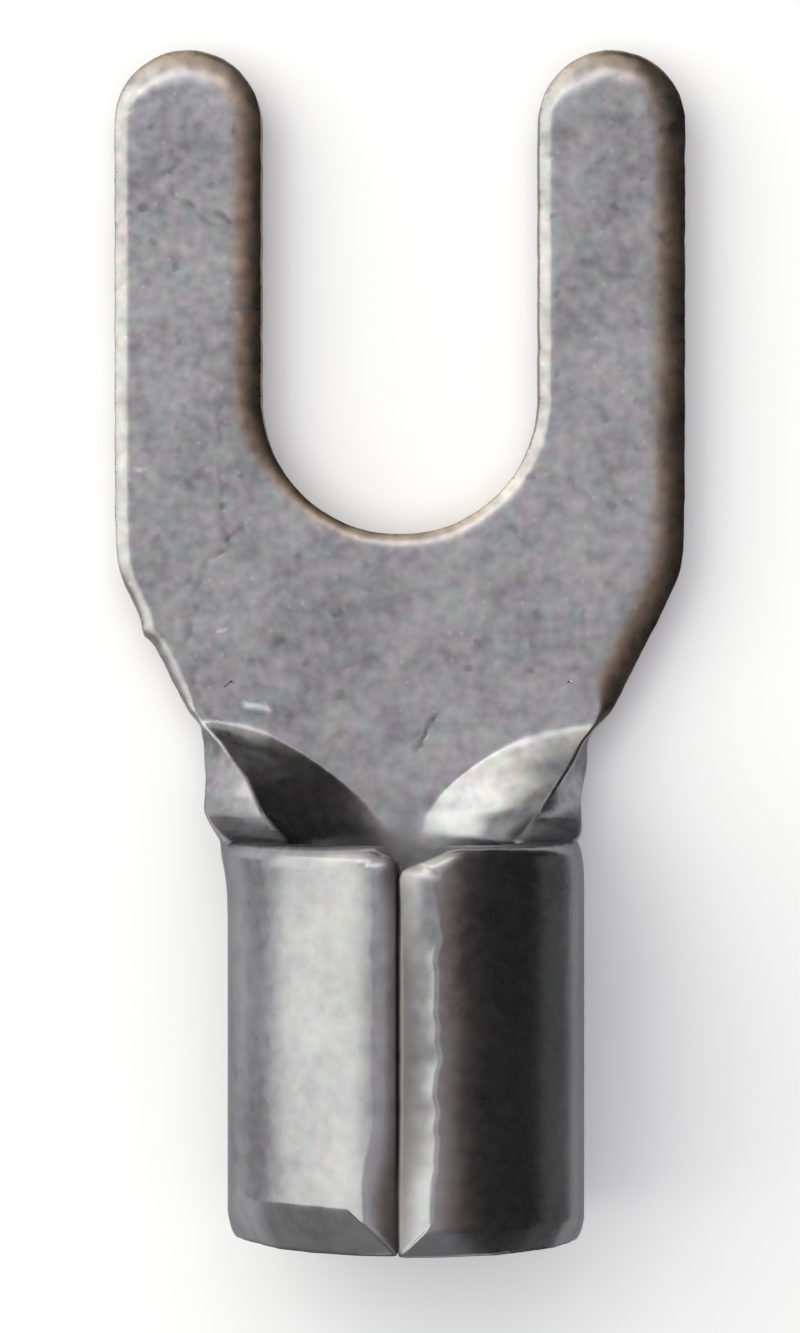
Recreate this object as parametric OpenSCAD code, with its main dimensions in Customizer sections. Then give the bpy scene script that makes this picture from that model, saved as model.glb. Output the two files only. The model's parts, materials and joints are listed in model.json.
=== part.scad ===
// Fork terminal: one sheet, stamped flat and rolled at its rear into a barrel for a wire.
// The origin is the stud's centre on the underside. +Y points out of the fork and +Z is up.

/* [Sheet] */
// Thickness of the sheet
sheet_t = 1; // [0.7:0.05:1.2]
// Radius of the die roll along the upper edges
roll_r = 0.25; // [0.1:0.05:0.4]

/* [Fork] */
// Width of the slot for the stud
slot_w = 4.3; // [3.2:0.1:5.3]
// Width across both prongs
tongue_w = 8.9; // [7.6:0.1:11]
// Length of a prong from the stud's centre to its tip
prong_l = 5.4; // [3.5:0.1:8]
// Metal left between the slot's end and the shoulders
web_l = 0.55; // [0.4:0.05:2]

/* [Neck] */
// Length of the tapered shoulders
shoulder_l = 3.25; // [2:0.05:5]
// Width of the neck, measured across the flat sheet
neck_w = 5.5; // [5:0.1:6.6]
// Length of the neck from the shoulders to the barrel's rim
neck_l = 0.9; // [0.5:0.05:3]
// Softness of the corner where the shoulders run into the neck
neck_blend = 0.2; // [0.1:0.1:1]
// Length over which the sheet curls, from the flat tongue to the rim
curl_l = 1.8; // [1.2:0.05:2.4]
// Width of the flat between the two creases where the curl starts
crease_w = 4.6; // [3:0.1:4.8]
// Share of the flanks' turn that is made at the creases
crease_share = 0.5; // [0:0.05:0.8]
// Radius of the corner where the neck's edge turns up into the rim
rim_fillet_r = 0.8; // [0.2:0.1:1.1]

/* [Barrel] */
// Bore for the bared wire
bore_d = 3.4; // [2.8:0.1:4.2]
// Length of the barrel
barrel_l = 6; // [4:0.1:9]
// Gap left along the seam
seam_gap = 0.15; // [0.05:0.05:0.4]
// Radius of the seam's outer lips
lip_r = 0.4; // [0.1:0.05:0.6]
// Corner taken off each end of the seam at the front rim
front_corner = 0.4; // [0.1:0.05:0.8]
// Corner taken off each end of the seam at the rear
rear_corner = 0.25; // [0.1:0.05:0.6]
// Length of the bevel round the rear edge
bevel_l = 0.55; // [0.2:0.05:1]
// Depth of the bevel round the rear edge
bevel_d = 0.12; // [0.05:0.01:0.3]

/* [Hidden] */
$fn = 96;
// How far a cut runs past the metal
over = 1;
degrees = 180 / PI;

slot_r = slot_w / 2;
tongue_half = tongue_w / 2;
prong_w = tongue_half - slot_r;
prong_x = slot_r + prong_w / 2;
tip_r = prong_w / 2;
tip_y = prong_l - tip_r;

bore_r = bore_d / 2;
barrel_r = bore_r + sheet_t;
mid_r = bore_r + sheet_t / 2;

shoulder_y = -(slot_r + web_l);
neck_y = shoulder_y - shoulder_l;
rim_y = neck_y - neck_l;
curl_y = rim_y + curl_l;

neck_half = neck_w / 2;
crease_half = crease_w / 2;
// Half width of the flat that is left at the rim, and the width of a crease
crease_end = 0.2;
crease_run = 0.2;
fillet_r = min(rim_fillet_r, 0.9 * neck_l);
// Small step where the neck meets the barrel's wall and the fork's rolled edge
step = 0.02;
neck_roll_r = roll_r + step;

// Steps of the lofted neck: along the curl and the fillet, across a crease and a flank, and round a roll
curl_steps = 14;
fillet_steps = 6;
crease_steps = 3;
flank_steps = 10;
roll_steps = 4;

function lerp(a, b, f) = a + (b - a) * f;
function soft_max(a, b, soft) = (a + b + sqrt((a - b) * (a - b) + soft * soft)) / 2;

// Half width of the flat sheet at y, before the fillet at the rim
function shoulder_half(y) = lerp(tongue_half, neck_half, (shoulder_y - y) / shoulder_l);
function strip_half(y) = min(tongue_half, soft_max(shoulder_half(y), neck_half, neck_blend));

// Stations of the loft, each with its y and the half width that the fillet adds there
stations = concat(
    [[shoulder_y, 0]],
    [for (i = [0 : curl_steps]) [lerp(curl_y, rim_y + fillet_r, i / curl_steps), 0]],
    [for (i = [1 : fillet_steps])
        let (turn = 90 * i / fillet_steps)
        [rim_y + fillet_r * (1 - sin(turn)), fillet_r * (1 - cos(turn))]]
);

// Section of the sheet at a station: its y, its half width, its zones from the middle line outwards and
// its share of the full thickness. Each zone has a length and a curvature: the flat, the crease and the
// flank. The flat narrows and the flank's turn grows until all three lie on the barrel's circle at the rim.
function section(station) =
    let (
        y = station[0],
        half = strip_half(y) + station[1],
        curl = max(0, (curl_y - y) / curl_l),
        flat = lerp(crease_end, crease_half, pow(1 - curl, 1.5)),
        turn = sin(90 * curl) * half / mid_r,
        flat_bend = pow(curl, 4) / mid_r,
        crease_bend = lerp(crease_share * turn / crease_run, 1 / mid_r, curl),
        flank = half - flat - crease_run
    )
    [y, half, [
        [flat, flat_bend],
        [crease_run, crease_bend],
        [flank, (turn - flat_bend * flat - crease_bend * crease_run) / flank]
    ], 1 - 2 * step / sheet_t * pow(curl, 12)];

// Steps along an arc of curvature bend that starts at angle from
function arc_x(bend, from, run) =
    abs(bend) < 1e-6 ? run * cos(from) : (sin(from + degrees * bend * run) - sin(from)) / bend;
function arc_z(bend, from, run) =
    abs(bend) < 1e-6 ? run * sin(from) : (cos(from) - cos(from + degrees * bend * run)) / bend;

// Place and lean of the sheet's middle layer, u from its middle line: [x, z, lean]
function walk(zones, u, i = 0, x = 0, z = 0, lean = 0) =
    i == len(zones) ? [x, z, lean] :
    let (
        run = min(u, zones[i][0]),
        bend = zones[i][1]
    )
    walk(zones, u - run, i + 1, x + arc_x(bend, lean, run), z + arc_z(bend, lean, run),
        lean + degrees * bend * run);

// Point of the curled sheet, u from its middle line and h above its underside
function curled(sec, u, h) =
    let (
        place = walk(sec[2], u),
        lift = (h - sheet_t / 2) * sec[3]
    )
    [
        place[0] - lift * sin(place[2]),
        sec[0],
        sheet_t / 2 + place[1] + lift * cos(place[2])
    ];

// Distances from the middle line to the points of one half, the last at distance end
function across(sec, end) =
    let (
        flat = sec[2][0][0],
        flank_u = flat + crease_run
    )
    concat(
        [for (i = [0 : crease_steps - 1]) lerp(flat, flank_u, i / crease_steps)],
        [for (i = [0 : flank_steps]) lerp(flank_u, end, i / flank_steps)]
    );

// Right half of a station's outline: along the underside, round the rolled edge, back along the top
function half_loop(sec) =
    let (
        under = across(sec, sec[1]),
        top = across(sec, sec[1] - neck_roll_r)
    )
    concat(
        [for (u = under) curled(sec, u, 0)],
        [for (i = [0 : roll_steps])
            let (turn = 90 * i / roll_steps)
            curled(sec, sec[1] - neck_roll_r * (1 - cos(turn)), sheet_t - neck_roll_r * (1 - sin(turn)))],
        [for (i = [across_n - 1 : -1 : 0]) curled(sec, top[i], sheet_t)]
    );
function whole_loop(half) = concat(
    half,
    [for (i = [len(half) - 1 : -1 : 0]) [-half[i][0], half[i][1], half[i][2]]]
);

// Faces that close one end of the loft, as strips between the underside and the top
across_n = crease_steps + flank_steps;
half_n = 2 * across_n + roll_steps + 2;
loop_n = 2 * half_n;
function above(i) = half_n - 1 - i;
function mirrored(face) = [for (i = [len(face) - 1 : -1 : 0]) loop_n - 1 - face[i]];
end_half = concat(
    [for (i = [0 : across_n - 1]) [i, i + 1, above(i + 1), above(i)]],
    [[for (i = [0 : roll_steps + 1]) across_n + i]]
);
end_faces = concat(
    [[0, half_n - 1, half_n, loop_n - 1]],
    end_half,
    [for (face = end_half) mirrored(face)]
);
function shifted(face, start) = [for (i = face) i + start];
function turned(face) = [for (i = [len(face) - 1 : -1 : 0]) face[i]];

// Neck: the shoulders and the curl between the flat fork and the round barrel
module neck() {
    rings = [for (station = stations) whole_loop(half_loop(section(station)))];
    last = len(rings) - 1;
    sides = [
        for (k = [0 : last - 1])
            for (i = [0 : loop_n - 1])
                let (j = (i + 1) % loop_n)
                [k * loop_n + i, (k + 1) * loop_n + i, (k + 1) * loop_n + j, k * loop_n + j]
    ];
    polyhedron(
        points = [for (ring = rings) for (p = ring) p],
        faces = concat(
            end_faces,
            sides,
            [for (face = end_faces) turned(shifted(face, last * loop_n))]
        )
    );
}

// Corner that the die roll takes off, for an edge at x = 0 under an upper face at y = 0
module roll_corner() {
    difference() {
        translate([-roll_r, -roll_r])
            square(roll_r + over);
        translate([-roll_r, -roll_r])
            circle(roll_r);
    }
}

module fork_outline() {
    difference() {
        translate([-tongue_half, shoulder_y])
            square([tongue_w, -shoulder_y]);
        circle(slot_r);
    }
    for (side = [-1, 1])
        translate([side * prong_x, 0]) {
            translate([-tip_r, 0])
                square([prong_w, tip_y]);
            translate([0, tip_y])
                circle(tip_r);
        }
}

// Die roll along the outside of one prong, round its tip and back along the slot
module prong_roll() {
    translate([tongue_half, tip_y, sheet_t])
        rotate([90, 0, 0])
            linear_extrude(tip_y - shoulder_y)
                roll_corner();
    translate([prong_x, tip_y, sheet_t])
        rotate_extrude(angle = 180)
            translate([tip_r, 0])
                roll_corner();
    translate([slot_r, tip_y, sheet_t])
        rotate([90, 0, 0])
            linear_extrude(tip_y)
                mirror([1, 0])
                    roll_corner();
}

// Fork: two round-ended prongs and the slot between them
module fork() {
    difference() {
        linear_extrude(sheet_t)
            fork_outline();
        prong_roll();
        mirror([1, 0, 0])
            prong_roll();
        translate([0, 0, sheet_t])
            rotate([0, 0, 180])
                rotate_extrude(angle = 180)
                    translate([slot_r, 0])
                        mirror([1, 0])
                            roll_corner();
    }
}

// Metal outside the rounded lip on the right of the seam
module lip_corner() {
    lip_x = seam_gap / 2 + lip_r;
    lip_z = sqrt(pow(barrel_r - lip_r, 2) - lip_x * lip_x);
    reach = (barrel_r + over) / (barrel_r - lip_r);
    difference() {
        polygon([[0, lip_z], [lip_x, lip_z], [lip_x * reach, lip_z * reach], [0, lip_z * reach]]);
        translate([lip_x, lip_z])
            circle(lip_r);
    }
}

module barrel_section() {
    difference() {
        circle(barrel_r);
        circle(bore_r);
        translate([-seam_gap / 2, 0])
            square([seam_gap, barrel_r + over]);
        lip_corner();
        mirror([1, 0])
            lip_corner();
    }
}

// Ring that the rear bevel takes off, round the barrel's own axis
module rear_bevel() {
    slope = bevel_d / bevel_l;
    rotate_extrude()
        polygon([
            [barrel_r + slope * bevel_l, barrel_l - 2 * bevel_l],
            [barrel_r - 2 * bevel_d, barrel_l + bevel_l],
            [barrel_r + over, barrel_l + bevel_l],
            [barrel_r + over, barrel_l - 2 * bevel_l]
        ]);
}

// Notch that takes the corners off one end of the seam, opening towards +Y
module seam_notch(corner) {
    half_gap = seam_gap / 2;
    linear_extrude(barrel_r + over)
        polygon([
            [-half_gap, -corner],
            [half_gap, -corner],
            [half_gap + corner + over, over],
            [-half_gap - corner - over, over]
        ]);
}

// Barrel: a tube rolled from the sheet, with its seam along the top
module barrel() {
    translate([0, rim_y, barrel_r])
        difference() {
            rotate([90, 0, 0])
                difference() {
                    linear_extrude(barrel_l)
                        barrel_section();
                    rear_bevel();
                }
            seam_notch(front_corner);
            translate([0, -barrel_l, 0])
                rotate([0, 0, 180])
                    seam_notch(rear_corner);
        }
}

module fork_terminal() {
    color("silver") {
        fork();
        neck();
        barrel();
    }
}

fork_terminal();
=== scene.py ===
"""Fork terminal: one tin-plated sheet, stamped flat and rolled at its rear into a seamed barrel.

The sheet is worked out as a flat blank, with p across it, q along it and h up through its thickness,
and is then folded to its real shape. The working is in millimetres. Settings, meshes and lamps are in
metres.
"""

import json
import math
from types import SimpleNamespace

import bpy
import numpy as np
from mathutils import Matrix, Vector


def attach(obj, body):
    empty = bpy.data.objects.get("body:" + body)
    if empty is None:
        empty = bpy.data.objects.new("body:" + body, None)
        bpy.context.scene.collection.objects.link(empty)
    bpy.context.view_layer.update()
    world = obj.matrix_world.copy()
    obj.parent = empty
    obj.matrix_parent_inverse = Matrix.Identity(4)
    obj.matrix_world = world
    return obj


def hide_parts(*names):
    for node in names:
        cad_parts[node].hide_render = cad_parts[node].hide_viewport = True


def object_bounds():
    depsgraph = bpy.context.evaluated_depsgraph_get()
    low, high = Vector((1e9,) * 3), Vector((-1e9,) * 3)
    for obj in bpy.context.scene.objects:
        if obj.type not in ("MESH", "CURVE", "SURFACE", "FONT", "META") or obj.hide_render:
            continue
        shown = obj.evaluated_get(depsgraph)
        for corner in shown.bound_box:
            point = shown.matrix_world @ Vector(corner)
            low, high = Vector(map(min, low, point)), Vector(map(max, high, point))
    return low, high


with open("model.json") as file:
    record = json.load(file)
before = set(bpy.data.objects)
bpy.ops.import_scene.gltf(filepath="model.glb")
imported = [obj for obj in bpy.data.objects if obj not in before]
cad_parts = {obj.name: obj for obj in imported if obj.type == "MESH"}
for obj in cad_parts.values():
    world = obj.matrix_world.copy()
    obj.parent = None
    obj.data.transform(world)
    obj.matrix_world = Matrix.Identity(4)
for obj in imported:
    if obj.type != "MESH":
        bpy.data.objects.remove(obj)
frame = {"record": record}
CAD_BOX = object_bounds()

bl_info = {
    "name": "Fork terminal",
    "version": (1, 0, 0),
    "blender": (4, 5, 0),
    "location": "3D View > Sidebar > Terminal",
    "description": "Rolls a tin-plated fork terminal from its flat blank, in a small studio",
    "category": "Add Mesh",
}

MM = 0.001
MOUNTS = {mount["name"]: mount for mount in frame["record"]["mounts"]}
SLOT_R = MOUNTS["stud_slot"]["dims"]["r_mm"]
BORE_R = MOUNTS["wire_barrel"]["dims"]["r_mm"]
BARREL_L = MOUNTS["wire_barrel"]["dims"]["length_mm"]
BARREL_R = MOUNTS["wire_barrel"]["pos_m"][2] / MM
SHEET_T = BARREL_R - BORE_R
TONGUE_HALF = CAD_BOX[1].x / MM
TIP_END = CAD_BOX[1].y / MM
REAR_Y = CAD_BOX[0].y / MM

# Steps of the mesh: rows along the sheet, columns across it and points round its edge
BARREL_ROWS = 50
FILLET_ROWS = 26
NECK_ROWS = 30
SHOULDER_ROWS = 26
SLOT_ROWS = 26
PRONG_ROWS = 46
TIP_ROWS = 16
TONGUE_COLUMNS = 48
WING_COLUMNS = 34
CORNER_STEPS = 16
ROLL_STEPS = 8
SIDE_STEPS = 3
LEVEL_STEPS = 10
# Distance within which points of the mesh are one
WELD = 1.37e-5
# Powers by which the shoulders' rows gather at the curl, and bend beside the slot
SHOULDER_GATHER = 1.4
SLOT_BEND = 3
# Distance back from the rim over which the barrel's columns ease into the neck's
RIM_EASE = 3

# Share of the curl over which the creases swing in from the sheet's edges
FLARE_RUN = 0.035
# Shares of the curl at which the creases start to soften, and the flat between them to bend
CREASE_SOFTENS = 0.4
FLAT_BENDS = 0.75
# Width on each side of a crease in which the columns gather, and the shares of them up to its two sides
CREASE_GATHER = 0.08
CREASE_SHARES = (0.32, 0.62)
# Furthest that a crease's two sides may draw the columns, as shares of the half width
CREASE_CAPS = (0.8, 0.9)
# How far before and past the curl's start the neck draws in
NICK_PASS = (0.2, 0.4)
# Half the arc over which the barrel flattens at the seam, in radians
SEAM_DIP_TURN = 0.3

# Distances across the sheet between which the rear bevel deepens, up the barrel's sides
BEVEL_RISE = (2.3, 3.4)
# Distances along the sheet, from the curl's start, between which the neck's edge becomes the tongue's
CURL_PASS = (-0.2, 0.6)
# How far past a tip's start and end its edge comes in
TIP_PASS = 0.1
# Share of the slot's radius over which a prong's edge becomes the slot's
SLOT_PASS = 0.8
# Distances from the rear between which the seam's end becomes its plain lip
SEAM_PASS = (0.6, 2.2)
# Distance back from the rim at which the seam's front comes in
RIM_PASS = 1.8
# Distances from the middle line between which the edges become ragged
RAGGED_PASS = (0.05, 0.8)

# Straight cuts at the seam's corners: how far they run along the two sides
LEFT_FRONT_CUT = (0.2, 0.2)
RIGHT_FRONT_CUT = (0.55, 0.36)
REAR_CUT = (0.01, 0.01)
# Order of the easing between a corner's sides and its cut
CUT_ORDER = 80
# Share of a corner over which one edge style passes to the next
REAR_MITRE = 0.15
FRONT_MITRE = 1.0
# Power of the cosine by which an edge's upper roll falls
ROLL_POWER = 1.6
# Share of an edge's level part that is divided evenly
LEVEL_END = 0.94
# Share of the edge colour, wear and a painted brown reflection, on the edges that face left; those that
# face right take all of it
LEFT_FACING_EDGE_SHARE = 0.15

# Places along the sheet between which the barrel's plainer plate becomes the fork's, and the edges' wear
# and painted brown reflection come in
FORK_START = (-7.2, -6.0)
WEAR_AND_REFLECTION_START = (-5.3, -4.7)

# Distance of the panels, gap under the terminal and half width of the floor, in metres
PANEL_AWAY = 0.35
FLOOR_GAP = 0.01 * MM
FLOOR_HALF = 1.5
# Height of the image in pixels
IMAGE_HEIGHT = 1333

QUARTER = math.pi / 2


def length(name, mm, text):
    """A length setting, given here in millimetres and kept in metres."""
    return bpy.props.FloatProperty(
        name=name, description=text, default=mm * MM, unit="LENGTH", precision=6
    )


def angle(name, degrees, text):
    """An angle setting, given here in degrees and kept in radians."""
    return bpy.props.FloatProperty(
        name=name, description=text, default=math.radians(degrees), subtype="ANGLE"
    )


def share(name, value, text):
    """A setting that is a plain share or strength."""
    return bpy.props.FloatProperty(name=name, description=text, default=value, precision=3)


def colour(name, value, text):
    """A colour setting, linear RGB."""
    return bpy.props.FloatVectorProperty(
        name=name, description=text, default=value, size=3, subtype="COLOR", min=0, max=1
    )


class SheetSizes(bpy.types.PropertyGroup):
    """Sizes of the blank and of the rolled terminal."""

    sheet_t: length("Sheet", SHEET_T, "Thickness of the sheet")
    slot_r: length("Slot radius", SLOT_R, "Half the width of the slot for the stud")
    tongue_half: length("Tongue half width", TONGUE_HALF, "Half the width across both prongs")
    tip_end: length("Prong length", TIP_END, "From the stud's centre to the tips")
    web: length("Web", 0.55, "Metal left between the slot's end and the shoulders")
    shoulder_l: length("Shoulder length", 3.25, "Length of the tapered shoulders")
    shoulder_soft: length("Shoulder corner", 0.16, "Softness of the corner from a prong to its shoulder")
    neck_half: length("Neck half width", 2.75, "Half the width of the neck, across the flat sheet")
    neck_soft: length("Neck corner", 0.2, "Softness of the corner where a shoulder runs into the neck")
    neck_nick: length("Neck nick", 0.22, "How much the sheet narrows where the curl starts")
    fillet_r: length("Rim fillet", 0.35, "Radius where the neck's edge turns up into the rim")
    curl_l: length("Curl length", 1.8, "Length over which the sheet curls from flat to round")
    crease_half: length("Crease half width", 2.3, "Half the width of the flat where the creases start")
    crease_end: length("Crease end", 0.2, "Half the width of the flat that is left at the rim")
    crease_flare: length("Crease flare", 0.8, "How far the creases swing out at their start")
    crease_run: length("Crease run", 0.1, "Width of a crease")
    flank_tilt: angle("Flank tilt", 32, "Tilt of the flanks about the creases, on average")
    flank_skew: angle("Flank skew", -4.5, "How much more the right flank tilts")
    flank_start: share("Flank start", 0.34, "Share of that tilt where the creases start, on average")
    start_skew: share("Start skew", -0.14, "How much more that share is on the right")
    flank_rise: share("Flank rise", 0.5, "Share of the curl over which the tilt grows to the full")
    crease_sweep: share("Crease sweep", 1.62, "Power by which the creases close in, on average")
    crease_skew: share("Crease skew", 0.12, "How much more that power is on the right")
    turn_sweep: share("Turn sweep", 2.5, "Power by which the flanks turn up, on average")
    turn_skew: share("Turn skew", 0.7, "How much more that power is on the right")
    bore_r: length("Bore radius", BORE_R, "Half the bore for the bared wire")
    barrel_l: length("Barrel length", BARREL_L, "Length of the barrel")
    rear_y: length("Rear end", REAR_Y, "Where the barrel ends, measured from the stud's centre")
    left_swell: share("Left swell", 0.06, "Share by which the curl bulges past a round one there")
    left_swell_y: length("Left swell place", -6.6, "Where that bulge is widest")
    left_swell_run: length("Left swell run", 0.65, "How far that bulge runs along the sheet")
    right_swell: share("Right swell", -0.08, "Share by which the curl bulges past a round one there")
    right_swell_y: length("Right swell place", -6.45, "Where that bulge is widest")
    right_swell_run: length("Right swell run", 0.45, "How far that bulge runs along the sheet")
    barrel_shift: length("Barrel shift", 0.09, "How far the barrel sits off the middle, to the right")
    seam_gap: length("Seam gap", 0.002, "Gap left along the seam, at the bore")
    seam_shift: length("Seam shift", 0.085, "How far left of the middle the seam lies, at the bore")
    seam_dip: length("Seam dip", 0.046, "How far the barrel flattens at the seam")
    edge_inset: length("Edge inset", 0.82, "Depth of the band that holds the rolled edges")
    rear_inset: length("Rear inset", 1.3, "Depth of the band that holds the rear bevel")
    ragged: length("Ragged edge", 0.01, "How far the sheared edges wander")
    seam_ragged: length("Ragged seam", 0.002, "How far the seam's lips wander")
    lip_wander: share("Lip wander", 0.12, "How much the width of the seam's lips wanders, as a share")
    burr: length("Burr", 0.075, "Height of the burr on the left shoulder")
    burr_y: length("Burr place", -3.68, "Where the burr sits, along the sheet")
    burr_run: length("Burr run", 0.13, "Length of the burr")


class TinFinish(bpy.types.PropertyGroup):
    """Colours and texture of the tin plate."""

    tin: colour("Tin", (0.378, 0.378, 0.412), "Colour of the plate")
    stain: colour("Stain", (0.33, 0.32, 0.315), "Colour of the duller patches")
    # Laid on the rolled edges as wear, and most on the edges that face right as a painted brown reflection
    edge: colour("Worn edge", (0.42, 0.34, 0.295), "Colour where the plate is rubbed at the edges")
    grime: colour("Grime", (0.15, 0.12, 0.1), "Colour of the dirt along the seam")
    roughness: share("Roughness", 0.29, "Roughness of the plate")
    grain: length("Grain", 0.2, "Size of the plate's mottled grain")
    relief: length("Relief", 0.006, "Height of the plate's bumps")


class Studio(bpy.types.PropertyGroup):
    """Camera and lamps."""

    camera_height: length("Camera height", 70, "Height of the camera above the tongue")
    camera_y: length("Camera place", -4.21, "Where the camera looks down, along the sheet")
    pixels_per_mm: share("Photo scale", 64.4, "Pixels to a millimetre on the tongue, in the full image")
    key: share("Side panel", 1.62, "Radiance of the tall panel on the left")
    key_low: share("Low side panel", 0.75, "Radiance of the low panel beside it, towards the prongs")
    top: share("Top panel", 0.4, "Radiance of the panel overhead")
    far: share("Far panel", 2.1, "Radiance of the small panel beyond the prongs")
    far_low: share("Low far panel", 0.48, "Radiance of the warmer panel below the far one")
    floor_light: share("Floor light", 0.85, "Irradiance that the overhead lamp gives the floor")
    floor_soft: angle("Floor light's width", 70, "Angle that the overhead lamp shows across")
    ambient: share("Ambient", 0.36, "Radiance of the room")
    card: colour("Dark card", (0.03, 0.03, 0.03), "Colour of the cards that the right side mirrors")
    low: colour("Low card", (0.18, 0.18, 0.18), "Colour of the low card on the right")
    brown: colour("Brown card", (0.22, 0.16, 0.135), "Colour of the card above them")
    rear: colour("Rear card", (0.36, 0.36, 0.36), "Colour of the low card behind the barrel")
    left: colour("Left card", (0.8, 0.8, 0.8), "Colour of the low card on the barrel's left")
    floor: colour("Floor", (0.9, 0.895, 0.93), "Colour of the floor")


def lerp(a, b, f):
    """Straight blend from a at f = 0 to b at f = 1."""
    return a + (b - a) * f


def ramp(x, low, high):
    """Smooth step: 0 below low, 1 above high, 3f^2 - 2f^3 between."""
    f = np.clip((x - low) / (high - low), 0, 1)
    return f * f * (3 - 2 * f)


def soft_max(a, b, soft):
    """The larger of two values, rounded where they are nearer than about soft."""
    return (a + b + np.sqrt((a - b) ** 2 + soft ** 2)) / 2


def pairs(p, q):
    """Points of the blank from their p and q, as one array of pairs."""
    return np.stack(np.broadcast_arrays(p, q), axis=-1).astype(float)


def wander(along, seed, longest=1.6, waves=7):
    """A seeded ragged line between -2 and 0: sines, each 1.4 to 1.8 times shorter than the last.

    A sine's height goes by the root of its length.
    """
    rng = np.random.default_rng(seed)
    lengths = longest / rng.uniform(1.4, 1.8, waves).cumprod()
    heights = np.sqrt(lengths / longest)
    phases = rng.uniform(0, 2 * math.pi, waves)
    return np.sin(2 * math.pi * along[:, None] / lengths + phases) @ heights / heights.sum() - 1


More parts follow.
